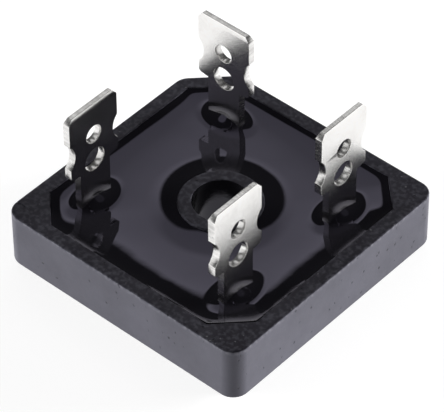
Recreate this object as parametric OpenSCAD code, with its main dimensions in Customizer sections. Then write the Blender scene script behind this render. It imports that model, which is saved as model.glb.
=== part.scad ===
// Single-phase bridge rectifier in a square potted case.
// The origin is the centre of the screw hole on the underside of the base plate, +Z is up,
// and the bevelled corner that marks the positive terminal lies at -X, +Y.

/* [Case] */
// Width of the square case across its flats
case_w = 28.6; // [27.6:0.1:31]
// Height of the moulded case, without the plate below it
case_h = 6.1; // [5.6:0.1:8]
// Width of the flat rim, which is the wall round the well
rim_w = 1.55; // [1.3:0.05:1.9]
// Radius of the upright outer corners
corner_r = 1.7; // [1:0.1:2.4]
// Leg of the bevelled corner
bevel_leg = 4; // [3.2:0.1:4.8]
// Leg of the chamfers across the corners of the well
well_leg = 3.1; // [2.4:0.1:3.4]
// Rounding of the outer edges, above and below
edge_r = 0.25; // [0.1:0.05:0.4]
// Width of the two ribs that keep the lower plates apart
rib_w = 1.2; // [0.8:0.1:1.6]

/* [Screw hole] */
// Diameter of the screw hole
hole_d = 5.5; // [4.5:0.1:6]
// Outer diameter of the moulded sleeve round the screw hole
sleeve_d = 8.2; // [7.4:0.1:9]

/* [Base plate] */
// Thickness of the plate
base_t = 1.6; // [1.3:0.1:2.5]
// How far the plate stands out below the case
base_proud = 1.1; // [0.8:0.05:1.2]
// Distance from the side of the case to the edge of the plate
base_inset = 1.2; // [1:0.05:1.25]
// Bevel round the lower edge of the plate
base_edge = 0.3; // [0.1:0.05:0.5]
// Thickness of the insulating sheet on the plate
sheet_t = 0.25; // [0.1:0.05:0.5]
// Gap between the insulating sheet and what stands round it
sheet_gap = 0.2; // [0.1:0.05:0.4]

/* [Potting] */
// Depth of the level surface below the rim
fill_drop = 0.6; // [0.5:0.05:0.9]
// How high the resin climbs at the walls and the sleeve
wall_climb = 0.5; // [0.2:0.05:0.5]
// Width of the curved margin along the walls
wall_margin = 2; // [1:0.1:2.4]
// Width of the curved margin round the sleeve
sleeve_margin = 1.9; // [1:0.1:2.4]
// How high the resin climbs at the terminals
foot_climb = 0.45; // [0.2:0.05:0.6]
// Width of the curved margin round each terminal
foot_margin = 1.4; // [0.8:0.1:1.6]

/* [Terminal blade] */
// Width of the blade
tab_w = 6.35; // [5.8:0.05:6.6]
// Thickness of the blade
tab_t = 0.8; // [0.6:0.05:1]
// Height of the tips above the rim
tab_rise = 11.4; // [10.6:0.1:14]
// Height of the coined tip
tip_h = 0.55; // [0.3:0.05:0.9]
// How far the tip narrows at each edge of the blade
tip_inset = 0.5; // [0.2:0.05:0.8]
// How far the tip thins at each face of the blade
tip_coin = 0.16; // [0.05:0.01:0.22]
// Diameter of the upper hole
upper_hole_d = 1.96; // [1.5:0.02:2.2]
// Distance from the tip to the centre of the upper hole
upper_hole_drop = 3.55; // [3:0.05:4]
// Diameter of the lower hole
lower_hole_d = 2.56; // [2:0.02:2.8]
// Distance from the tip to the centre of the lower hole
lower_hole_drop = 6.65; // [6.3:0.05:7]
// Distance from the tip to the middle of the side notches
notch_drop = 4.6; // [4.2:0.05:4.8]
// Height of the side notches at the edge of the blade
notch_span = 2.9; // [2:0.1:3.4]
// Depth of the side notches
notch_depth = 0.65; // [0.3:0.05:0.8]
// Distance from the tip to the shoulders
shoulder_drop = 7.4; // [7:0.05:8]
// Bevel at the outer corners of the shoulders
shoulder_edge = 0.25; // [0.1:0.05:0.4]
// Width of the stem below the shoulders
stem_w = 3.95; // [3.6:0.05:4.4]

/* [Terminal places] */
// Distance from the hole to the middle of the positive blade, along X
positive_x = 7.5; // [7:0.1:8]
// Distance from the hole to the positive blade, along Y
positive_y = 9.3; // [9:0.1:9.8]
// Distance from the hole to the negative blade, along X
negative_x = 8.7; // [8.4:0.1:9.4]
// Distance from the hole to the middle of the negative blade, along Y
negative_y = 7.85; // [7:0.05:8.2]
// Distance from the hole to the blade of the first input, along X
input_a_x = 9.5; // [9:0.1:9.8]
// Distance from the hole to the middle of the blade of the first input, along Y
input_a_y = 7.2; // [6.6:0.1:7.8]
// Distance from the hole to the blade of the second input, along X
input_b_x = 9; // [8.6:0.1:9.6]
// Distance from the hole to the middle of the blade of the second input, along Y
input_b_y = 6.4; // [6:0.1:7.6]

/* [Conductors] */
// Thickness of the stamped plates and straps
plate_t = 0.5; // [0.3:0.05:0.6]
// Width of the arms of the lower plates
plate_arm = 5.8; // [5:0.1:6]
// Width of the arms of the upper straps
strap_arm = 4.4; // [4:0.1:4.8]
// Gap between the lower plates and the wall of the well
plate_gap = 1.1; // [0.8:0.1:1.4]
// Gap between the conductors and the sleeve
sleeve_gap = 0.8; // [0.5:0.1:1]
// Bend radius on the inside of the terminals' feet
bend_r = 0.5; // [0.3:0.05:0.7]
// Length of the terminals' feet, from the back of the stem
foot_l = 3.2; // [2.6:0.1:3.4]

/* [Diodes] */
// Side of the square silicon dice
die_w = 4.2; // [3.4:0.1:4.4]
// Thickness of the dice
die_t = 0.35; // [0.2:0.05:0.5]
// Distance from the hole to the middle of each die
die_r = 8.6; // [8.3:0.1:8.9]
// Diameter of the solder layers on the dice
solder_d = 3.8; // [2.8:0.1:4]
// Thickness of the solder layers
solder_t = 0.1; // [0.05:0.01:0.15]
// How far the solder spreads round each terminal's foot
solder_spread = 0.3; // [0.1:0.05:0.4]

/* [Hidden] */

$fn = 96;
overlap = 0.5;                        // how far cutters run past what they cut
seam = 0.002;                         // keeps a curved margin from meeting the level resin tangentially

// Levels, from the underside of the base plate
case_z = base_proud;
case_top = case_z + case_h;
sheet_top = base_t + sheet_t;
plate_top = sheet_top + plate_t;
die_z = plate_top + solder_t;
strap_z = die_z + die_t + solder_t;
strap_top = strap_z + plate_t;
fill_z = case_top - fill_drop;
tip_z = case_top + tab_rise;
shoulder_z = tip_z - shoulder_drop;

// Half widths
well_half = case_w / 2 - rim_w;
plate_half = well_half - plate_gap;
strap_half = die_r + strap_arm / 2;

// Where each terminal stands: middle, turn about Z, side that its foot points to, level of its seat
positive_place = [-positive_x, positive_y, 0, -1, plate_top];
negative_place = [negative_x, -negative_y, 90, 1, plate_top];
input_a_place = [-input_a_x, -input_a_y, 90, -1, strap_top];
input_b_place = [input_b_x, input_b_y, 90, 1, strap_top];
places = [positive_place, negative_place, input_a_place, input_b_place];

// The dice lie in the middle of the four sides: left, back, front, right
die_angles = [180, 90, 270, 0];

function octagon(half, leg) = [
    for (a = [0:90:270], side = [-1, 1])
        let (u = half, v = side * (half - leg))
        [u * cos(a) - v * sin(a), u * sin(a) + v * cos(a)]
];

// Centres of the outer corner arcs of a square with one bevelled corner, anticlockwise
function corner_centres(half, leg, r) =
    let (c = half - r, along = half - leg - r * tan(22.5))
    [[c, c], [-along, c], [-c, along], [-c, -c], [c, -c]];

// Half of the section through a rounded edge: r is the reach, e_low and e_high the edge roundings
module edge_section(r, z_low, z_high, e_low, e_high) {
    difference() {
        translate([0, z_low])
            square([r, z_high - z_low]);
        translate([r - e_high, z_high - e_high])
            difference() {
                square(e_high + overlap);
                circle(e_high);
            }
        translate([r - e_low, z_low + e_low])
            mirror([0, 1])
                difference() {
                    square(e_low + overlap);
                    circle(e_low);
                }
    }
}

// Slab with rounded upright corners and rounded edges, swept round the corner centres
module soft_slab(centres, r, z_low, z_high, e_low, e_high) {
    n = len(centres);
    translate([0, 0, z_low])
        linear_extrude(z_high - z_low)
            polygon(centres);
    for (i = [0:n - 1]) {
        here = centres[i];
        next = centres[(i + 1) % n];
        before = centres[(i + n - 1) % n];
        run = next - here;
        came = here - before;
        heading = atan2(run[1], run[0]);
        turn = (heading - atan2(came[1], came[0]) + 360) % 360;
        translate([here[0], here[1], 0])
            rotate([0, 0, heading])
                rotate([90, 0, 90])
                    linear_extrude(norm(run))
                        mirror([1, 0])
                            edge_section(r, z_low, z_high, e_low, e_high);
        translate([here[0], here[1], 0])
            rotate([0, 0, heading - turn - 90])
                rotate_extrude(angle = turn)
                    edge_section(r, z_low, z_high, e_low, e_high);
    }
}

// Section of a resin margin: level at the left end, climbing to the wall at the right end
module margin_section(width, climb) {
    radius = (width * width + climb * climb) / (2 * climb);
    translate([0, -seam])
        difference() {
            translate([0, -overlap])
                square([width, climb + seam + overlap]);
            translate([0, radius])
                circle(radius);
        }
}

module well(z_low, z_high) {
    translate([0, 0, z_low])
        linear_extrude(z_high - z_low)
            polygon(octagon(well_half, well_leg));
}

module base_outline(z_low, z_high, e_low) {
    half = case_w / 2 - base_inset;
    leg = bevel_leg - base_inset * (2 - sqrt(2));
    corners = [[1, 1], [-1, 1], [-1, -1], [1, -1]];
    difference() {
        soft_slab((half - corner_r) * corners, corner_r, z_low, z_high, e_low, 0);
        rotate([0, 0, 135])
            translate([(2 * half - leg) / sqrt(2), -half, z_low - overlap])
                cube([half, 2 * half, z_high - z_low + 2 * overlap]);
    }
}

module sleeve(z_low, z_high) {
    translate([0, 0, z_low])
        cylinder(h = z_high - z_low, d = sleeve_d);
}

// The two ribs run from the sleeve into the corners where the inputs stand
module ribs() {
    reach = (2 * well_half - well_leg) / sqrt(2);
    for (turn = [45, 225])
        rotate([0, 0, turn])
            translate([0, -rib_w / 2, sheet_top])
                cube([reach, rib_w, strap_z - sheet_top]);
}

module case() {
    color([0.13, 0.13, 0.15])
        difference() {
            union() {
                difference() {
                    soft_slab(corner_centres(case_w / 2, bevel_leg, corner_r), corner_r,
                              case_z, case_top, edge_r, edge_r);
                    well(base_t - overlap, case_top + overlap);
                    base_outline(case_z - overlap, base_t, 0);
                }
                sleeve(base_t, case_top);
                ribs();
            }
            translate([0, 0, -overlap])
                cylinder(h = case_top + 2 * overlap, d = hole_d);
        }
}

module base_plate() {
    color([0.78, 0.79, 0.8])
        difference() {
            base_outline(0, base_t, base_edge);
            translate([0, 0, -overlap])
                cylinder(h = base_t + 2 * overlap, d = hole_d);
        }
}

module insulating_sheet() {
    color([0.92, 0.9, 0.82])
        translate([0, 0, base_t])
            linear_extrude(sheet_t)
                difference() {
                    polygon(octagon(well_half - sheet_gap, well_leg));
                    circle(d = sleeve_d + 2 * sheet_gap);
                }
}

// L-shaped conductor for the corner at -X, +Y, whose arms end past the dice beside it
module corner_conductor(z_low, half, arm, chamfer) {
    end = die_w / 2 + solder_spread;
    translate([0, 0, z_low])
        linear_extrude(plate_t)
            difference() {
                polygon([
                    [-half, -end], [-half + arm, -end], [-half + arm, half - arm], [end, half - arm],
                    [end, half], [-half + chamfer, half], [-half, half - chamfer],
                ]);
                circle(d = sleeve_d + 2 * sleeve_gap);
            }
}

module plate_positive() {
    color([0.72, 0.45, 0.3])
        corner_conductor(sheet_top, plate_half, plate_arm, well_leg);
}

module plate_negative() {
    color([0.72, 0.45, 0.3])
        rotate([0, 0, 180])
            corner_conductor(sheet_top, plate_half, plate_arm, well_leg);
}

module strap_input_a() {
    color([0.72, 0.45, 0.3])
        rotate([0, 0, 90])
            corner_conductor(strap_z, strap_half, strap_arm, strap_arm / 2);
}

module strap_input_b() {
    color([0.72, 0.45, 0.3])
        rotate([0, 0, -90])
            corner_conductor(strap_z, strap_half, strap_arm, strap_arm / 2);
}

module at_die(i) {
    rotate([0, 0, die_angles[i]])
        translate([die_r, 0, 0])
            children();
}

module die(i) {
    color([0.3, 0.32, 0.36])
        at_die(i)
            translate([-die_w / 2, -die_w / 2, die_z])
                cube([die_w, die_w, die_t]);
}

module solder_disc(i, z_low) {
    color([0.7, 0.71, 0.73])
        at_die(i)
            translate([0, 0, z_low])
                cylinder(h = solder_t, d = solder_d);
}

module at_terminal(place) {
    translate([place[0], place[1], 0])
        rotate([0, 0, place[2]])
            children();
}

// Outline of the blade and its stem in the width and height plane
module blade_outline(z_low) {
    half = tab_w / 2;
    stem = stem_w / 2;
    notch_r = (notch_span * notch_span / 4 + notch_depth * notch_depth) / (2 * notch_depth);
    difference() {
        polygon([
            [-stem, z_low], [stem, z_low], [stem, shoulder_z - shoulder_edge / 2],
            [half - shoulder_edge, shoulder_z], [half, shoulder_z + shoulder_edge],
            [half, tip_z - tip_h], [half - tip_inset, tip_z],
            [-half + tip_inset, tip_z], [-half, tip_z - tip_h],
            [-half, shoulder_z + shoulder_edge], [-half + shoulder_edge, shoulder_z],
            [-stem, shoulder_z - shoulder_edge / 2],
        ]);
        for (side = [-1, 1])
            translate([side * (half - notch_depth + notch_r), tip_z - notch_drop])
                circle(notch_r);
        translate([0, tip_z - upper_hole_drop])
            circle(d = upper_hole_d);
        translate([0, tip_z - lower_hole_drop])
            circle(d = lower_hole_d);
    }
}

// Section of the blade in the thickness and height plane, with the coined tip
module blade_section(z_low) {
    half = tab_t / 2;
    polygon([
        [-half, z_low], [half, z_low], [half, tip_z - tip_h], [half - tip_coin, tip_z],
        [-half + tip_coin, tip_z], [-half, tip_z - tip_h],
    ]);
}

// The root: the foot, its bend and the stem up to z_high, in one width
module root(place, z_high) {
    seat = place[4] + solder_t;
    outer_r = bend_r + tab_t;
    bend_z = seat + outer_r;
    at_terminal(place)
        mirror([0, place[3] < 0 ? 1 : 0, 0])
            rotate([90, 0, 90])
                translate([-tab_t / 2, 0, -stem_w / 2])
                    linear_extrude(stem_w)
                        union() {
                            translate([0, bend_z])
                                square([tab_t, z_high - bend_z]);
                            translate([outer_r, seat])
                                square([foot_l - outer_r, tab_t]);
                            intersection() {
                                translate([0, seat])
                                    square(outer_r);
                                translate([outer_r, bend_z])
                                    difference() {
                                        circle(outer_r);
                                        circle(bend_r);
                                    }
                            }
                        }
}

module terminal(place) {
    z_low = place[4] + solder_t + bend_r + tab_t;
    color([0.85, 0.86, 0.87])
        union() {
            root(place, fill_z);
            at_terminal(place)
                intersection() {
                    translate([0, tab_t / 2, 0])
                        rotate([90, 0, 0])
                            linear_extrude(tab_t)
                                blade_outline(z_low);
                    translate([-tab_w / 2, 0, 0])
                        rotate([90, 0, 90])
                            linear_extrude(tab_w)
                                blade_section(z_low);
                }
        }
}

module foot_solder(place) {
    near = -tab_t / 2 + bend_r;
    far = -tab_t / 2 + foot_l + solder_spread;
    color([0.7, 0.71, 0.73])
        at_terminal(place)
            mirror([0, place[3] < 0 ? 1 : 0, 0])
                translate([-stem_w / 2 - solder_spread, near, place[4]])
                    cube([stem_w + 2 * solder_spread, far - near, solder_t]);
}

// Resin that climbs a terminal: straight margins along its sides and quarter rings at its corners
module foot_rise(place) {
    half = [stem_w / 2, tab_t / 2];
    at_terminal(place)
        translate([0, 0, fill_z]) {
            for (i = [0, 1], side = [0, 1])
                mirror([i == 0 ? side : 0, i == 1 ? side : 0, 0])
                    rotate([0, 0, i * 90])
                        translate([half[i] + foot_margin, half[1 - i], 0])
                            rotate([90, 0, 0])
                                linear_extrude(2 * half[1 - i])
                                    mirror([1, 0])
                                        margin_section(foot_margin, foot_climb);
            for (a = [0:90:270])
                translate([(a == 0 || a == 270 ? 1 : -1) * half[0], (a < 180 ? 1 : -1) * half[1], 0])
                    rotate([0, 0, a])
                        rotate_extrude(angle = 90)
                            translate([foot_margin, 0])
                                mirror([1, 0])
                                    margin_section(foot_margin, foot_climb);
        }
}

// Resin that climbs the eight walls of the well, each margin mitred by its neighbours
module wall_rise() {
    chamfer_reach = (2 * well_half - well_leg) / sqrt(2);
    for (i = [0:7])
        intersection() {
            well(fill_z - overlap, case_top);
            rotate([0, 0, i * 45])
                translate([(i % 2 == 0 ? well_half : chamfer_reach) - wall_margin, well_half, fill_z])
                    rotate([90, 0, 0])
                        linear_extrude(2 * well_half)
                            margin_section(wall_margin, wall_climb);
        }
}

module sleeve_rise() {
    translate([0, 0, fill_z])
        rotate_extrude()
            translate([sleeve_d / 2 + sleeve_margin, 0])
                mirror([1, 0])
                    margin_section(sleeve_margin, wall_climb);
}

module potting() {
    color([0.1, 0.1, 0.12])
        difference() {
            union() {
                well(base_t, fill_z);
                wall_rise();
                sleeve_rise();
                for (place = places)
                    foot_rise(place);
            }
            sleeve(base_t - overlap, case_top + overlap);
            ribs();
            insulating_sheet();
            plate_positive();
            plate_negative();
            strap_input_a();
            strap_input_b();
            for (i = [0:3]) {
                die(i);
                solder_disc(i, plate_top);
                solder_disc(i, die_z + die_t);
            }
            for (place = places) {
                foot_solder(place);
                root(place, case_top);
            }
        }
}

case();
base_plate();
insulating_sheet();
potting();
terminal(positive_place);  // terminal_positive
terminal(negative_place);  // terminal_negative
terminal(input_a_place);  // terminal_input_a
terminal(input_b_place);  // terminal_input_b
plate_positive();
plate_negative();
strap_input_a();
strap_input_b();
die(0);  // die_1
die(1);  // die_2
die(2);  // die_3
die(3);  // die_4
solder_disc(0, plate_top);  // solder_lower_1
solder_disc(1, plate_top);  // solder_lower_2
solder_disc(2, plate_top);  // solder_lower_3
solder_disc(3, plate_top);  // solder_lower_4
solder_disc(0, die_z + die_t);  // solder_upper_1
solder_disc(1, die_z + die_t);  // solder_upper_2
solder_disc(2, die_z + die_t);  // solder_upper_3
solder_disc(3, die_z + die_t);  // solder_upper_4
foot_solder(positive_place);  // solder_positive
foot_solder(negative_place);  // solder_negative
foot_solder(input_a_place);  // solder_input_a
foot_solder(input_b_place);  // solder_input_b
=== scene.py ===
import bpy
import numpy as np
from math import radians
from mathutils import Matrix, Vector, noise


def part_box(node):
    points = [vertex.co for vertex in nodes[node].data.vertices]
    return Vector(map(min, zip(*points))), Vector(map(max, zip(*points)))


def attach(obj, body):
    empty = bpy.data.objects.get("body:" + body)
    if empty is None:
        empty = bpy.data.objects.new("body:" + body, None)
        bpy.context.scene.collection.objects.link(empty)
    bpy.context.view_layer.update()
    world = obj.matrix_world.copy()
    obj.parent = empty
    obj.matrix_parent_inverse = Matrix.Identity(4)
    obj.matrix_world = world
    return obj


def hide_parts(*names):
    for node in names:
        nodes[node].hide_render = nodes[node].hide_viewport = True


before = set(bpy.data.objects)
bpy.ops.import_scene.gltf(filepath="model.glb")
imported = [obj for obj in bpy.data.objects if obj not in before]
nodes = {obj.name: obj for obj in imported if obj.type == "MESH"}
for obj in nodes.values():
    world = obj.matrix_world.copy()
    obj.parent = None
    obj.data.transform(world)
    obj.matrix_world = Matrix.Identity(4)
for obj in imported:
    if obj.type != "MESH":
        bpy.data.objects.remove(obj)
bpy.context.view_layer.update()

mm = 0.001
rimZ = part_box("case")[1].z                # top of the moulded rim
print("frame loaded:", len(nodes), "nodes")

# camera
cameraSetup = {
    "place": (148.231, -165.721, 221.130),     # millimetres, in the part's own frame
    "target": (28.564, -31.807, 47.728),
    "roll": -0.4286,                            # degrees about the line of sight
    "lens": 268.57,
    "sensor": 36.0,
}


def makeCamera(setup):
    place = Vector(setup["place"]) * mm
    target = Vector(setup["target"]) * mm
    look = (target - place).to_track_quat("-Z", "Y").to_matrix()
    turned = look @ Matrix.Rotation(radians(setup["roll"]), 3, "Z")
    data = bpy.data.cameras.new("productCamera")
    data.lens = setup["lens"]
    data.sensor_width = setup["sensor"]
    data.clip_start, data.clip_end = 0.01, 10
    camera = bpy.data.objects.new("productCamera", data)
    camera.matrix_world = Matrix.Translation(place) @ turned.to_4x4()
    bpy.context.scene.collection.objects.link(camera)
    bpy.context.scene.camera = camera


makeCamera(cameraSetup)
print("camera placed")


# shader helpers
def newGroup(name, inputs, outputs):
    group = bpy.data.node_groups.new(name, "ShaderNodeTree")
    for socketName, kind, value in inputs:
        socket = group.interface.new_socket(socketName, in_out="INPUT", socket_type=kind)
        socket.default_value = value
    for socketName, kind in outputs:
        group.interface.new_socket(socketName, in_out="OUTPUT", socket_type=kind)
    return group, group.nodes.new("NodeGroupInput"), group.nodes.new("NodeGroupOutput")


def feed(tree, value, socket):            # a number is set on the socket, an output is linked to it
    if isinstance(value, (int, float)):
        socket.default_value = value
    else:
        tree.links.new(value, socket)


def mathNode(tree, operation, first, second=None, clamp=False):
    node = tree.nodes.new("ShaderNodeMath")
    node.operation = operation
    node.use_clamp = clamp
    feed(tree, first, node.inputs[0])
    if second is not None:
        feed(tree, second, node.inputs[1])
    return node.outputs[0]


def mapRange(tree, value, fromMin, fromMax, toMin, toMax):
    node = tree.nodes.new("ShaderNodeMapRange")
    node.clamp = True
    for key, setting in (("From Min", fromMin), ("From Max", fromMax), ("To Min", toMin), ("To Max", toMax)):
        feed(tree, setting, node.inputs[key])
    tree.links.new(value, node.inputs["Value"])
    return node.outputs["Result"]


def noiseNode(tree, coordinates, scale, detail=2.0, rough=0.5):
    node = tree.nodes.new("ShaderNodeTexNoise")
    node.inputs["Detail"].default_value = detail
    node.inputs["Roughness"].default_value = rough
    tree.links.new(coordinates, node.inputs["Vector"])
    feed(tree, scale, node.inputs["Scale"])
    return node.outputs[0]


# fine grain: a small-scale height and a slow roughness change
def makeGrainGroup():
    group, inside, outside = newGroup(
        "fineGrain",
        [("Vector", "NodeSocketVector", (0, 0, 0)), ("Scale", "NodeSocketFloat", 6000.0),
         ("Roughness", "NodeSocketFloat", 0.4), ("Spread", "NodeSocketFloat", 0.05)],
        [("Height", "NodeSocketFloat"), ("Roughness", "NodeSocketFloat")])
    grain = noiseNode(group, inside.outputs["Vector"], inside.outputs["Scale"], 4.0, 0.6)
    slow = noiseNode(group, inside.outputs["Vector"], 260.0, 2.0)
    centred = mathNode(group, "SUBTRACT", slow, 0.5)
    fine = mathNode(group, "SUBTRACT", grain, 0.5)
    both = mathNode(group, "ADD", centred, fine)
    swing = mathNode(group, "MULTIPLY", both, inside.outputs["Spread"])
    group.links.new(grain, outside.inputs["Height"])
    rough = mathNode(group, "ADD", inside.outputs["Roughness"], swing, True)
    group.links.new(rough, outside.inputs["Roughness"])
    return group


# specks: scattered dots of one size, a mask from 0 to 1
def makeSpeckGroup():
    group, inside, outside = newGroup(
        "specks",
        [("Vector", "NodeSocketVector", (0, 0, 0)), ("Scale", "NodeSocketFloat", 1000.0),
         ("Size", "NodeSocketFloat", 0.12), ("Share", "NodeSocketFloat", 0.1)],
        [("Mask", "NodeSocketFloat")])
    cells = group.nodes.new("ShaderNodeTexVoronoi")
    group.links.new(inside.outputs["Vector"], cells.inputs["Vector"])
    group.links.new(inside.outputs["Scale"], cells.inputs["Scale"])
    core = mathNode(group, "MULTIPLY", inside.outputs["Size"], 0.45)
    ragged = mathNode(group, "MULTIPLY", inside.outputs["Scale"], 5.0)
    grain = mathNode(group, "SUBTRACT", noiseNode(group, inside.outputs["Vector"], ragged, 2.0), 0.5)
    spread = mathNode(group, "MULTIPLY", grain, mathNode(group, "MULTIPLY", inside.outputs["Size"], 2.4))
    distance = mathNode(group, "ADD", cells.outputs["Distance"], spread)
    dot = mapRange(group, distance, core, inside.outputs["Size"], 1.0, 0.0)
    split = group.nodes.new("ShaderNodeSeparateColor")
    group.links.new(cells.outputs["Color"], split.inputs["Color"])
    chosen = mathNode(group, "LESS_THAN", split.outputs[0], inside.outputs["Share"])
    group.links.new(mathNode(group, "MULTIPLY", dot, chosen, True), outside.inputs["Mask"])
    return group


# painted highlight: a chipped band just under a level edge, standing in for the glint along the rounded rim
# edge, a mask from 0 to 1
def makeEdgeGlintGroup():
    group, inside, outside = newGroup(
        "paintedEdgeGlint",
        [("Vector", "NodeSocketVector", (0, 0, 0)), ("Level", "NodeSocketFloat", 0.007),
         ("Width", "NodeSocketFloat", 0.0004), ("Scale", "NodeSocketFloat", 3000.0)],
        [("Mask", "NodeSocketFloat")])
    split = group.nodes.new("ShaderNodeSeparateXYZ")
    group.links.new(inside.outputs["Vector"], split.inputs[0])
    away = mathNode(group, "ABSOLUTE", mathNode(group, "SUBTRACT", split.outputs[2], inside.outputs["Level"]))
    band = mapRange(group, away, 0.0, inside.outputs["Width"], 1.0, 0.0)
    grain = noiseNode(group, inside.outputs["Vector"], inside.outputs["Scale"], 3.0)
    chips = mapRange(group, grain, 0.45, 0.65, 0.0, 1.0)
    group.links.new(mathNode(group, "MULTIPLY", band, chips, True), outside.inputs["Mask"])
    return group


grainGroup = makeGrainGroup()
edgeGlintGroup = makeEdgeGlintGroup()
speckGroup = makeSpeckGroup()


def groupNode(tree, group, coordinates, **values):
    node = tree.nodes.new("ShaderNodeGroup")
    node.node_tree = group
    tree.links.new(coordinates, node.inputs["Vector"])
    for key, value in values.items():
        node.inputs[key].default_value = value
    return node


def startMaterial(name, color, rough, metallic=0.0, ior=1.5, tint=(1, 1, 1)):
    material = bpy.data.materials.new(name)
    material.use_nodes = True
    tree = material.node_tree
    shader = tree.nodes["Principled BSDF"]
    shader.inputs["Base Color"].default_value = (*color, 1)
    shader.inputs["Roughness"].default_value = rough
    shader.inputs["Metallic"].default_value = metallic
    shader.inputs["IOR"].default_value = ior
    shader.inputs["Specular Tint"].default_value = (*tint, 1)
    place = tree.nodes.new("ShaderNodeTexCoord").outputs["Object"]
    return material, tree, shader, place


def mixColor(tree, mask, low, high):
    node = tree.nodes.new("ShaderNodeMix")
    node.data_type = "RGBA"
    tree.links.new(mask, node.inputs["Factor"])
    for index, value in ((6, low), (7, high)):
        if isinstance(value, tuple):
            node.inputs[index].default_value = (*value, 1)
        else:
            tree.links.new(value, node.inputs[index])
    return node.outputs[2]


def addBump(tree, shader, height, distance):
    bump = tree.nodes.new("ShaderNodeBump")
    bump.inputs["Distance"].default_value = distance
    tree.links.new(height, bump.inputs["Height"])
    tree.links.new(bump.outputs["Normal"], shader.inputs["Normal"])


# materials
def shade(color, share):                  # a colour made darker or lighter
    return tuple(share * part for part in color)


# one black plastic in lit and shaded copies: the sides lighter and bluish, a painted sheen where the low
# lamps fall; the rim and well walls darker, painted shade
plasticSetup = {           # pits and dust are the shares of the cells that hold one
    "sides": {"color": (0.084, 0.083, 0.102), "paintedGlint": (0.17, 0.17, 0.195),
              "rough": 0.46, "pits": 0.5, "dust": 0.03},
    "rim": {"color": (0.014, 0.013, 0.017), "paintedGlint": (0.05, 0.05, 0.06),
            "rough": 0.42, "pits": 0.22, "dust": 0.22},
    # the bore: near-black, painted shade in the screw hole; its low roughness is the smooth moulded wall
    "bore": {"color": (0.003, 0.003, 0.0035), "paintedGlint": (0.003, 0.003, 0.0035),
             "rough": 0.08, "pits": 0.05, "dust": 0.0},
}
glintDrop, glintWidth = 0.12 * mm, 0.45 * mm      # the painted highlight band below the rim
pitDepth = 0.03 * mm


def makePlastic(name, setup):
    color, rough = setup["color"], setup["rough"]
    material, tree, shader, place = startMaterial(name, color, rough, ior=1.51, tint=(0.86, 0.84, 1.0))
    grain = groupNode(tree, grainGroup, place, Scale=4200.0, Roughness=rough, Spread=0.14)
    pits = groupNode(tree, speckGroup, place, Scale=1150.0, Size=0.17, Share=setup["pits"])
    dust = groupNode(tree, speckGroup, place, Scale=1700.0, Size=0.15, Share=setup["dust"])
    rimGlint = groupNode(tree, edgeGlintGroup, place, Level=rimZ - glintDrop, Width=glintWidth, Scale=2600.0)
    cloud = noiseNode(tree, place, 190.0, 6.0, 0.68)
    tree.links.new(grain.outputs["Roughness"], shader.inputs["Roughness"])
    clouds = mapRange(tree, cloud, 0.3, 0.7, 0.0, 1.0)
    mottled = mixColor(tree, clouds, shade(color, 0.80), shade(color, 1.16))
    # a lighter band along the rim's outer edge: painted highlight, broken into chips by noise
    paintedGlint = mixColor(tree, rimGlint.outputs["Mask"], mottled, setup["paintedGlint"])
    # the pits are darkened to 0.3 of the colour: painted shade in the pits, besides their dent in the bump
    pitShaded = mixColor(tree, pits.outputs["Mask"], paintedGlint, shade(color, 0.3))
    dusty = mixColor(tree, dust.outputs["Mask"], pitShaded, (0.13, 0.13, 0.14))
    tree.links.new(dusty, shader.inputs["Base Color"])
    lowGrain = mathNode(tree, "MULTIPLY", grain.outputs["Height"], 0.3)
    addBump(tree, shader, mathNode(tree, "SUBTRACT", lowGrain, pits.outputs["Mask"]), pitDepth)
    return material


resinFinish = {
    "color": (0.0032, 0.0030, 0.0038), "rough": 0.035, "dustScale": 420.0, "dustShare": 0.30,
    "lumpHeight": 0.0018 * mm,
}


def makeResinMaterial(setup):
    material, tree, shader, place = startMaterial("blackResin", setup["color"], setup["rough"],
                                                  ior=1.59, tint=(0.76, 0.71, 1.0))
    grain = groupNode(tree, grainGroup, place, Scale=2600.0, Roughness=setup["rough"], Spread=0.03)
    dust = groupNode(tree, speckGroup, place, Scale=setup["dustScale"], Size=0.045, Share=setup["dustShare"])
    rougher = mathNode(tree, "MULTIPLY", dust.outputs["Mask"], 0.5)
    uneven = mathNode(tree, "ADD", grain.outputs["Roughness"], rougher, True)
    tree.links.new(uneven, shader.inputs["Roughness"])
    dusty = mixColor(tree, dust.outputs["Mask"], setup["color"], (0.22, 0.22, 0.23))
    tree.links.new(dusty, shader.inputs["Base Color"])
    soft = noiseNode(tree, place, 700.0, 3.0)
    lumps = mathNode(tree, "ADD", soft, mathNode(tree, "MULTIPLY", dust.outputs["Mask"], 3.0))
    addBump(tree, shader, lumps, setup["lumpHeight"])
    return material


metalSetup = {         # roughness, grain scale, grain depth, stretch of the grain, darkest and palest tone
    "nickelFace": (0.20, 12000.0, 0.009 * mm, (1, 1, 1), 0.88, 0.96),
    "nickelEdgeX": (0.26, 6000.0, 0.007 * mm, (0.08, 1, 1), 0.68, 1.0),
    "nickelEdgeY": (0.26, 6000.0, 0.007 * mm, (1, 0.08, 1), 0.68, 1.0),
    "baseAluminium": (0.38, 2600.0, 0.004 * mm, (0.05, 1, 1), 0.66, 0.80),
}


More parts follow.
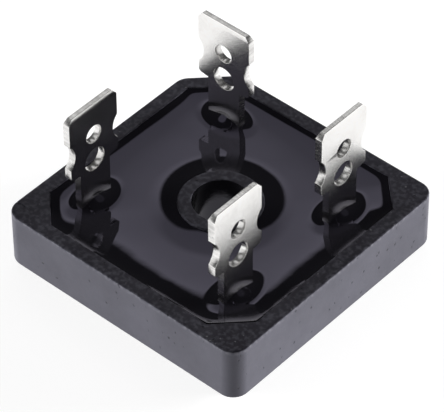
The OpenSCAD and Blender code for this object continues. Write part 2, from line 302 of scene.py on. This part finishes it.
def makeMetal(name, rough, grainScale, bumpHeight, stretch, dark, pale):
    material, tree, shader, place = startMaterial(name, (pale, pale, pale), rough, metallic=1.0)
    mapping = tree.nodes.new("ShaderNodeMapping")
    mapping.inputs["Scale"].default_value = stretch
    tree.links.new(place, mapping.inputs["Vector"])
    grain = groupNode(tree, grainGroup, mapping.outputs["Vector"],
                      Scale=grainScale, Roughness=rough, Spread=0.14)
    tree.links.new(grain.outputs["Roughness"], shader.inputs["Roughness"])
    streaks = noiseNode(tree, mapping.outputs["Vector"], 0.5 * grainScale, 3.0)
    stain = noiseNode(tree, place, 450.0, 4.0)
    tone = mapRange(tree, mathNode(tree, "ADD", streaks, stain), 0.8, 1.2, 0.0, 1.0)
    scuff = groupNode(tree, speckGroup, place, Scale=1700.0, Size=0.14, Share=0.05)
    warm = mixColor(tree, tone, shade((1, 0.985, 0.965), dark), shade((1, 0.99, 0.975), pale))
    scuffed = mixColor(tree, scuff.outputs["Mask"], warm, (0.60, 0.59, 0.58))
    tree.links.new(scuffed, shader.inputs["Base Color"])
    addBump(tree, shader, grain.outputs["Height"], bumpHeight)
    return material


plasticSidesLit, plasticRimShaded, paintedBoreShade = (makePlastic("plastic" + key.title(), plasticSetup[key])
                                         for key in ("sides", "rim", "bore"))
resinMaterial = makeResinMaterial(resinFinish)
nickelFace, nickelEdgeX, nickelEdgeY, aluminium = (makeMetal(key, *metalSetup[key]) for key in metalSetup)
copper = startMaterial("stampedCopper", (0.72, 0.42, 0.29), 0.35, 1.0)[0]
silicon = startMaterial("silicon", (0.2, 0.22, 0.27), 0.25)[0]
solderMetal = startMaterial("solder", (0.62, 0.63, 0.66), 0.3, 1.0)[0]
sheetMaterial = startMaterial("insulatorSheet", (0.85, 0.82, 0.7), 0.6)[0]

finishes = {
    "case": plasticSidesLit, "potting": resinMaterial, "base_plate": aluminium,
    "insulating_sheet": sheetMaterial, "terminal": nickelFace, "plate": copper, "strap": copper,
    "die": silicon, "solder": solderMetal,
}
for name, node in nodes.items():
    finish = next(value for key, value in finishes.items() if name.startswith(key))
    node.data.materials.clear()
    node.data.materials.append(finish)
print("materials ready")


# mesh helpers
def deselectAll():
    if bpy.context.object and bpy.context.object.mode != "OBJECT":
        bpy.ops.object.mode_set(mode="OBJECT")
    bpy.ops.object.select_all(action="DESELECT")


def activate(piece):
    deselectAll()
    piece.select_set(True)
    bpy.context.view_layer.objects.active = piece


def settle(piece):                        # puts the place into the mesh
    activate(piece)
    bpy.ops.object.transform_apply(location=True, rotation=True, scale=True)


def paint(piece, *finishes):              # one slot for each finish, in this order
    piece.data.materials.clear()
    for finish in finishes:
        piece.data.materials.append(finish)


perMetre = 1000                           # millimetres
mergeGap, flatAngle = 0.00001, 0.6        # millimetres and degrees


def mergedCopy(nodeName, pieceName):
    piece = nodes[nodeName].copy()
    piece.data = nodes[nodeName].data.copy()
    piece.name = pieceName
    piece.parent = None
    for key in list(piece.keys()):
        del piece[key]
    bpy.context.scene.collection.objects.link(piece)
    activate(piece)
    bpy.ops.mesh.customdata_custom_splitnormals_clear()
    piece.scale = (perMetre,) * 3         # merged at millimetre scale, so only true doubles join
    settle(piece)
    bpy.ops.object.mode_set(mode="EDIT")
    bpy.ops.mesh.select_all(action="SELECT")
    bpy.ops.mesh.remove_doubles(threshold=mergeGap)
    bpy.ops.mesh.dissolve_limited(angle_limit=radians(flatAngle))
    bpy.ops.object.mode_set(mode="OBJECT")
    piece.scale = (mm,) * 3
    settle(piece)
    return piece


def cutWith(piece, cutter):
    activate(piece)
    modifier = piece.modifiers.new("cut", "BOOLEAN")
    modifier.operation = "DIFFERENCE"
    modifier.object = cutter
    modifier.solver = "EXACT"
    bpy.ops.object.modifier_apply(modifier="cut")
    bpy.data.objects.remove(cutter)


def sharpEdges(piece, angle, rule):       # edges whose faces meet at more than the angle
    activate(piece)
    bpy.ops.object.mode_set(mode="EDIT")
    bpy.ops.mesh.select_mode(type="EDGE")
    bpy.ops.mesh.select_all(action="DESELECT")
    bpy.ops.mesh.edges_select_sharp(sharpness=radians(angle))
    bpy.ops.object.mode_set(mode="OBJECT")
    points = [v.co for v in piece.data.vertices]
    for edge in piece.data.edges:
        if edge.select and not rule(points[edge.vertices[0]], points[edge.vertices[1]]):
            edge.select = False
    bpy.ops.object.mode_set(mode="EDIT")


def smoothShading(piece, angle):          # smooth over the angle, with flat faces kept flat
    activate(piece)
    bpy.ops.object.shade_smooth_by_angle(angle=radians(angle))
    bpy.ops.object.modifier_add(type="WEIGHTED_NORMAL")
    piece.modifiers[-1].keep_sharp = True
    bpy.ops.object.modifier_apply(modifier=piece.modifiers[-1].name)


# resin
resinSetup = {
    "levelDrop": 0.6,         # level surface below the rim, millimetres
    "depth": 0.5,             # thickness of the finely modelled skin
    "cells": 200,
    "chamferLeg": 3.1,        # chamfer across the corners of the well
    "sleeveRadius": 4.1,
    "wallClimb": 0.36, "wallReach": 2.5, "wallBlend": 3.0,
    "edgeClimb": 0.10, "edgeReach": 0.45,     # the last, steeper rise against the wall
    "sleeveClimb": 0.29, "sleeveReach": 3.1,
    "footClimb": 0.90, "footReach": (3.75, 2.4),  # half length and half width of the oval at each foot
    "heapPlace": (12.8, -12.8), "heapClimb": 0.30, "heapReach": 4.2,      # fuller corner
    "swell": 0.013, "swellSize": 4.2,
    "ripple": 0.010, "rippleSize": 1.3, "rippleReach": 1.2,       # near the front and right walls
    "noiseLayer": 3.7,        # the slice of the noise that the swell and the ripple are read from
    "cutHeight": 4.0,         # of the cutters for the sleeve and the stems
    "stemHalfWidth": 1.975, "stemHalfThickness": 0.4,
}
levelZ = rimZ - resinSetup["levelDrop"] * mm
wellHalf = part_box("potting")[1].x
terminalNames = [name for name in nodes if name.startswith("terminal_")]


def bladeCentre(nodeName):                # middle of the blade above the rim, and whether it runs along X
    points = np.array([v.co for v in nodes[nodeName].data.vertices])
    points = points[points[:, 2] > rimZ + 1 * mm]
    low, high = points.min(0), points.max(0)
    return (low + high) / 2, (high - low)[0] > (high - low)[1]


feet = [bladeCentre(name) for name in terminalNames]


def resinHeight(x, y, setup):             # all in millimetres, above the level surface
    half = wellHalf / mm
    diagonal = (2 * half - setup["chamferLeg"]) / 2 ** 0.5
    blend, total = setup["wallBlend"], np.zeros_like(x)
    for turn in range(8):
        direction = np.array([np.cos(turn * np.pi / 4), np.sin(turn * np.pi / 4)])
        reach = half if turn % 2 == 0 else diagonal
        total += np.exp(-blend * (reach - x * direction[0] - y * direction[1]))
    wallGap = -np.log(total) / blend      # distance to the nearest wall, rounded in the corners
    height = setup["wallClimb"] * np.exp(-wallGap / setup["wallReach"])
    height += setup["edgeClimb"] * np.exp(-wallGap / setup["edgeReach"])
    gap = np.maximum(np.hypot(x, y) - setup["sleeveRadius"], 0)
    height += setup["sleeveClimb"] * np.maximum(1 - gap / setup["sleeveReach"], 0) ** 2
    for centre, alongX in feet:
        reachX, reachY = setup["footReach"] if alongX else setup["footReach"][::-1]
        oval = np.hypot((x - centre[0] / mm) / reachX, (y - centre[1] / mm) / reachY)
        height += setup["footClimb"] * np.maximum(1 - oval, 0) ** 2
    heapX, heapY = setup["heapPlace"]
    height += setup["heapClimb"] * np.exp(-np.hypot(x - heapX, y - heapY) / setup["heapReach"])
    front = np.exp(-np.minimum(half + y, half - x) / setup["rippleReach"])
    for key, share in (("swell", 1), ("ripple", front)):
        size, layer = setup[key + "Size"], setup["noiseLayer"]
        waves = [noise.noise(Vector((px / size, py / size, layer))) for px, py in zip(x, y)]
        height += setup[key] * share * np.array(waves)
    return height


def makeResinSkin(setup):                 # a level slab that fills the well's outline
    deselectAll()
    bpy.ops.mesh.primitive_grid_add(x_subdivisions=setup["cells"], y_subdivisions=setup["cells"],
                                    size=2 * wellHalf, location=(0, 0, levelZ))
    piece = bpy.context.object
    piece.name = "resinFill"
    settle(piece)
    bpy.ops.object.mode_set(mode="EDIT")
    corner = wellHalf - setup["chamferLeg"] * mm / 2
    for sideX in (-1, 1):
        for sideY in (-1, 1):
            bpy.ops.mesh.select_all(action="SELECT")
            bpy.ops.mesh.bisect(plane_co=(sideX * corner, sideY * corner, 0), plane_no=(sideX, sideY, 0),
                                clear_outer=True)
    bpy.ops.mesh.select_all(action="SELECT")
    bpy.ops.mesh.region_to_loop()                # the outline, drawn down and closed below
    bpy.ops.mesh.extrude_edges_move(TRANSFORM_OT_translate={"value": (0, 0, -setup["depth"] * mm)})
    bpy.ops.mesh.edge_face_add()
    bpy.ops.mesh.select_all(action="SELECT")
    bpy.ops.mesh.normals_make_consistent(inside=False)
    bpy.ops.object.mode_set(mode="OBJECT")
    return piece


def cutForSleeveAndStems(piece, setup):
    tall = setup["cutHeight"] * mm
    width, thick = 2 * setup["stemHalfWidth"] * mm, 2 * setup["stemHalfThickness"] * mm
    deselectAll()
    bpy.ops.mesh.primitive_cylinder_add(vertices=160, radius=setup["sleeveRadius"] * mm, depth=tall,
                                        location=(0, 0, levelZ))
    cutWith(piece, bpy.context.object)
    for centre, alongX in feet:
        deselectAll()
        bpy.ops.mesh.primitive_cube_add(size=1, location=(centre[0], centre[1], levelZ))
        cutter = bpy.context.object
        cutter.scale = (width, thick, tall) if alongX else (thick, width, tall)
        settle(cutter)
        cutWith(piece, cutter)


def raiseSurface(piece, setup):
    count = len(piece.data.vertices)
    points = np.empty(count * 3)
    piece.data.vertices.foreach_get("co", points)
    points = points.reshape(-1, 3)
    top = points[:, 2] > levelZ - 0.001 * mm
    points[top, 2] = levelZ + resinHeight(points[top, 0] / mm, points[top, 1] / mm, setup) * mm
    piece.data.vertices.foreach_set("co", points.ravel())
    piece.data.update()
    print("resin:", count, "points")


def makeResin(setup):
    piece = makeResinSkin(setup)
    cutForSleeveAndStems(piece, setup)
    raiseSurface(piece, setup)
    lower = mergedCopy("potting", "resinLower")      # the rest of the fill, down to the dies and the plates
    bpy.ops.object.mode_set(mode="EDIT")
    bpy.ops.mesh.select_all(action="SELECT")
    bpy.ops.mesh.bisect(plane_co=(0, 0, levelZ - setup["depth"] * mm), plane_no=(0, 0, 1), use_fill=True,
                        clear_outer=True)
    activate(piece)
    lower.select_set(True)
    bpy.ops.object.join()
    bpy.ops.object.shade_smooth_by_angle(angle=radians(35))
    paint(piece, resinMaterial)
    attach(piece, "root")
    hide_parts("potting")


makeResin(resinSetup)

# terminals
bladeSetup = {
    "edgeRound": 0.05,        # rounding of the punched edges, millimetres
    "edgeSteps": 2,
    "sharpAngle": 32,         # edges that turn more than this are rounded, degrees
}


def makeBlade(nodeName, setup):
    piece = mergedCopy(nodeName, nodeName.replace("terminal_", "blade_"))
    sharpEdges(piece, setup["sharpAngle"], lambda a, b: min(a.z, b.z) > levelZ)
    bpy.ops.mesh.bevel(offset=setup["edgeRound"] * mm, segments=setup["edgeSteps"], affect="EDGES",
                       clamp_overlap=False)
    bpy.ops.object.mode_set(mode="OBJECT")
    alongX = bladeCentre(nodeName)[1]
    paint(piece, nickelFace, nickelEdgeY if alongX else nickelEdgeX)
    for face in piece.data.polygons:          # the punched rim takes the streaked finish
        across = abs(face.normal.y if alongX else face.normal.x)
        face.material_index = 1 if across < 0.5 else 0
    smoothShading(piece, 40)
    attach(piece, "root")
    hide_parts(nodeName)


for terminal in terminalNames:
    makeBlade(terminal, bladeSetup)
print("terminals ready")

# case
caseSetup = {
    "wellRound": 0.12,        # rounding along the inner edge of the rim, millimetres
    "steps": 3,
    "boreRadius": 3.0,        # faces nearer the axis than this take the near-black bore colour, painted shade in the hole
    "slack": 0.01,            # how near the rim and the well an edge has to lie
    "wellWall": (0.3, 2.0),   # faces this near the well and above this height take the rim's darker copy, painted shade
}


def inBore(face, setup):                  # upright faces round the axis
    away = np.hypot(face.center.x, face.center.y)
    return abs(face.normal.z) < 0.5 and away < setup["boreRadius"] * mm


def makeCase(setup):
    piece = mergedCopy("case", "caseShell")
    slack = setup["slack"] * mm
    wallGap, wallFoot = (value * mm for value in setup["wellWall"])

    def onWell(a, b):
        atRim = min(a.z, b.z) > rimZ - slack
        inside = max(abs(a.x), abs(a.y), abs(b.x), abs(b.y)) < wellHalf + slack
        return atRim and inside

    sharpEdges(piece, 40, onWell)
    bpy.ops.mesh.bevel(offset=setup["wellRound"] * mm, segments=setup["steps"], affect="EDGES")
    bpy.ops.object.mode_set(mode="OBJECT")
    # three copies of the black plastic: sides lighter and bluish (painted sheen), rim and well walls darker
    # (painted shade), bore near-black (painted shade in the hole)
    paint(piece, plasticSidesLit, plasticRimShaded, paintedBoreShade)
    for face in piece.data.polygons:
        middle = face.center
        onWall = max(abs(middle.x), abs(middle.y)) < wellHalf + wallGap and middle.z > wallFoot
        if inBore(face, setup):
            # faces in the bore take the near-black colour: painted shade in the hole
            face.material_index = 2
        elif face.normal.z > 0.5 or onWall:
            face.material_index = 1
    smoothShading(piece, 38)
    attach(piece, "root")
    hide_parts("case")


makeCase(caseSetup)
print("case ready")


# base plate
def makeBase():
    piece = mergedCopy("base_plate", "basePlateShell")
    # the plate's hole wall takes the near-black bore plastic as well: painted shade in the hole
    paint(piece, aluminium, paintedBoreShade)
    for face in piece.data.polygons:
        face.material_index = int(inBore(face, caseSetup))
    smoothShading(piece, 35)
    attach(piece, "root")
    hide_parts("base_plate")


makeBase()
print("base plate ready")

# stage
floorSetup = {
    "size": 6, "drop": 0.02,      # metres across, and millimetres below the plate
    "paper": 0.4,                 # what the floor scatters
    "glow": 0.78,                 # what it shows by itself
}


def emptyMaterial(name):
    material = bpy.data.materials.new(name)
    material.use_nodes = True
    material.node_tree.nodes.clear()
    return material, material.node_tree


def makeFloorMaterial(setup):
    material, tree = emptyMaterial("whitePaper")
    out = tree.nodes.new("ShaderNodeOutputMaterial")
    paper = tree.nodes.new("ShaderNodeBsdfDiffuse")
    paper.inputs["Color"].default_value = (*[setup["paper"]] * 3, 1)
    glow = tree.nodes.new("ShaderNodeEmission")
    glow.inputs["Color"].default_value = (1, 1, 1, 1)
    path = tree.nodes.new("ShaderNodeLightPath")
    mirrored = mathNode(tree, "MAXIMUM", path.outputs["Is Glossy Ray"], path.outputs["Is Transmission Ray"])
    seen = mathNode(tree, "MAXIMUM", path.outputs["Is Camera Ray"], mirrored)
    tree.links.new(mathNode(tree, "MULTIPLY", seen, setup["glow"]), glow.inputs["Strength"])
    both = tree.nodes.new("ShaderNodeAddShader")
    tree.links.new(paper.outputs[0], both.inputs[0])
    tree.links.new(glow.outputs[0], both.inputs[1])
    tree.links.new(both.outputs[0], out.inputs["Surface"])
    return material


deselectAll()
bpy.ops.mesh.primitive_plane_add(size=floorSetup["size"], location=(0, 0, -floorSetup["drop"] * mm))
floor = bpy.context.object
floor.name = "floor"
floor.data.materials.append(makeFloorMaterial(floorSetup))


def seenFrom(azimuth, elevation):         # a unit vector from the part, angles in degrees
    az, el = radians(azimuth), radians(elevation)
    return Vector((np.cos(az) * np.cos(el), np.sin(az) * np.cos(el), np.sin(el)))


def areaLight(name, azimuth, elevation, distance, width, height, strength):
    place = seenFrom(azimuth, elevation) * distance
    data = bpy.data.lights.new(name, "AREA")
    data.shape = "RECTANGLE"
    data.size, data.size_y = width, height
    data.energy = strength * width * height * np.pi       # strength is then the brightness of the panel
    lamp = bpy.data.objects.new(name, data)
    lamp.location = place
    lamp.rotation_euler = (-place).to_track_quat("-Z", "Y").to_euler()
    lamp.visible_glossy = False               # mirrors see the cards instead
    bpy.context.scene.collection.objects.link(lamp)


lampSetup = {          # azimuth, elevation, distance, width, height, strength
    "leftLamp": (-145, 9, 1.1, 0.6, 0.3, 36.0),
    "rightLamp": (55, 9, 1.1, 0.6, 0.3, 52.0),
    "backLamp": (132, 60, 1.1, 0.7, 0.5, 0.8),
}
for name, values in lampSetup.items():
    areaLight(name, *values)

cardSetup = {          # azimuth, elevation, half width and half height in degrees, strength below and above
    "backCard": (133, 52.0, 9.4, 13.2, 1.32, 0.74),
    "leftCard": (-132, 8, 26, 17, 1.0, 0.9),
    "leftHighCard": (-132, 54, 20, 16, 0.3, 0.7),
    "rightCard": (48, 8, 26, 17, 1.0, 0.9),
    "rightHighCard": (48, 50, 20, 14, 0.16, 0.2),
}


cardDistance, cardFeather = 1.5, 0.14     # metres, and the share of a card that fades out at its edge


def makeCardMaterial(name, low, high):
    material, tree = emptyMaterial(name)
    out = tree.nodes.new("ShaderNodeOutputMaterial")
    glow = tree.nodes.new("ShaderNodeEmission")
    clear = tree.nodes.new("ShaderNodeBsdfTransparent")
    mix = tree.nodes.new("ShaderNodeMixShader")
    split = tree.nodes.new("ShaderNodeSeparateXYZ")
    tree.links.new(tree.nodes.new("ShaderNodeTexCoord").outputs["Object"], split.inputs[0])
    away = [mathNode(tree, "ABSOLUTE", split.outputs[axis]) for axis in (0, 1)]
    powers = [mathNode(tree, "POWER", value, 3.0) for value in away]
    outline = mathNode(tree, "POWER", mathNode(tree, "ADD", *powers), 1 / 3)      # with round corners
    tree.links.new(mapRange(tree, outline, 1.0 - cardFeather, 1.0, 1.0, 0.0), mix.inputs[0])
    tree.links.new(mapRange(tree, split.outputs[1], -0.9, -0.3, low, high), glow.inputs["Strength"])
    tree.links.new(clear.outputs[0], mix.inputs[1])
    tree.links.new(glow.outputs[0], mix.inputs[2])
    tree.links.new(mix.outputs[0], out.inputs["Surface"])
    return material


def reflectorCard(name, azimuth, elevation, halfWide, halfHigh, low, high):
    place = seenFrom(azimuth, elevation) * cardDistance
    deselectAll()
    bpy.ops.mesh.primitive_plane_add(size=2, location=(0, 0, 0))
    card = bpy.context.object
    card.name = name
    card.scale = (cardDistance * np.tan(radians(halfWide)), cardDistance * np.tan(radians(halfHigh)), 1)
    card.location = place
    card.rotation_euler = (-place).to_track_quat("Z", "Y").to_euler()
    card.visible_camera = False
    card.visible_diffuse = False
    card.visible_shadow = False
    card.data.materials.append(makeCardMaterial(name + "Glow", low, high))


for name, values in cardSetup.items():
    reflectorCard(name, *values)

studioSetup = {
    "ambient": 0.14,          # what plain surfaces receive from all around
    "dark": 0.06,             # what mirrors see between the cards
}


def makeWorld(setup):
    world = bpy.data.worlds.new("studio")
    bpy.context.scene.world = world
    world.use_nodes = True
    tree = world.node_tree
    back = tree.nodes["Background"]
    back.inputs["Color"].default_value = (1, 1, 1, 1)
    path = tree.nodes.new("ShaderNodeLightPath")
    strength = mapRange(tree, path.outputs["Is Glossy Ray"], 0.0, 1.0, setup["ambient"], setup["dark"])
    seen = mathNode(tree, "MAXIMUM", strength, path.outputs["Is Camera Ray"])
    tree.links.new(seen, back.inputs["Strength"])


makeWorld(studioSetup)
bpy.context.scene.view_settings.view_transform = "Standard"
print("stage and lights ready")
